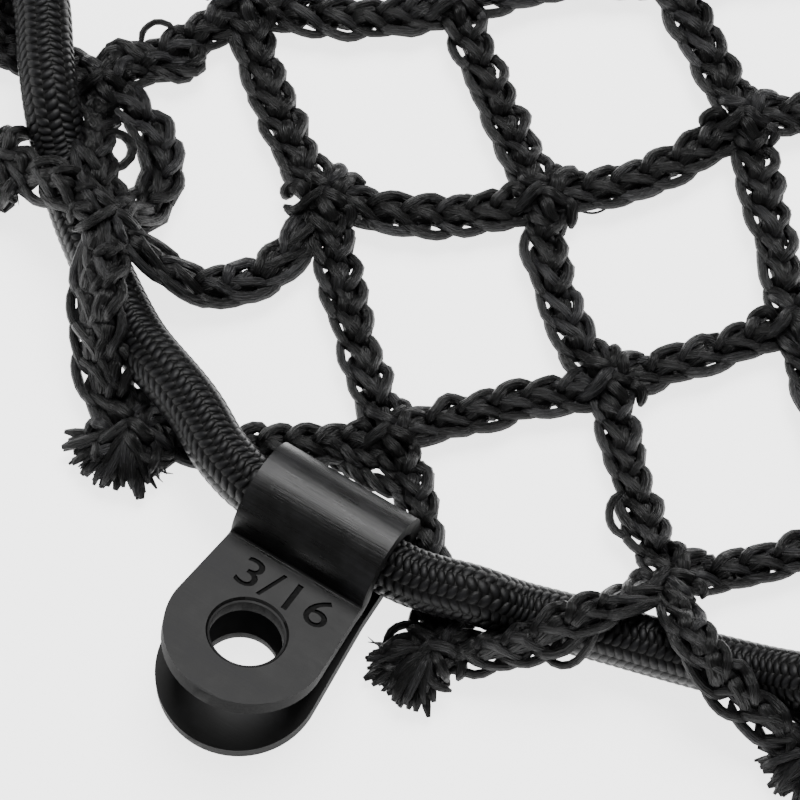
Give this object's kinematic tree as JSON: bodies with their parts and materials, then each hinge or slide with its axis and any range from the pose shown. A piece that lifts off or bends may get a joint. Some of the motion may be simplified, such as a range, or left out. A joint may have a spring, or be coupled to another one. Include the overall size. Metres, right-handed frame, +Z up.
{
  "type": "cargo net with elastic edge cord and cable clips",
  "caption": "Small-mesh knitted cargo net panel with trimmed corners, an elastic cord threaded round its border and plastic P-clips on the cord that take a screw.",
  "frame": {"origin": "middle of the panel in plan, on the plane that it lies on", "axes": "+X along the panel's long side, +Y along its short side, +Z up from the plane; the clips' tabs point out along the corners' diagonals"},
  "size_m": [0.2208, 0.164, 0.0071],
  "materials": {
    "net_yarn": "black satin filament yarn, knitted",
    "cord_sheath": "black braided sheath, satin",
    "clip_nylon": "black moulded nylon, satin"
  },
  "bodies": {
    "root": {"net": "net_yarn", "elastic_cord": "cord_sheath", "clip_southwest": "clip_nylon", "clip_southeast": "clip_nylon", "clip_northeast": "clip_nylon", "clip_northwest": "clip_nylon"}
  },
  "joints": []
}
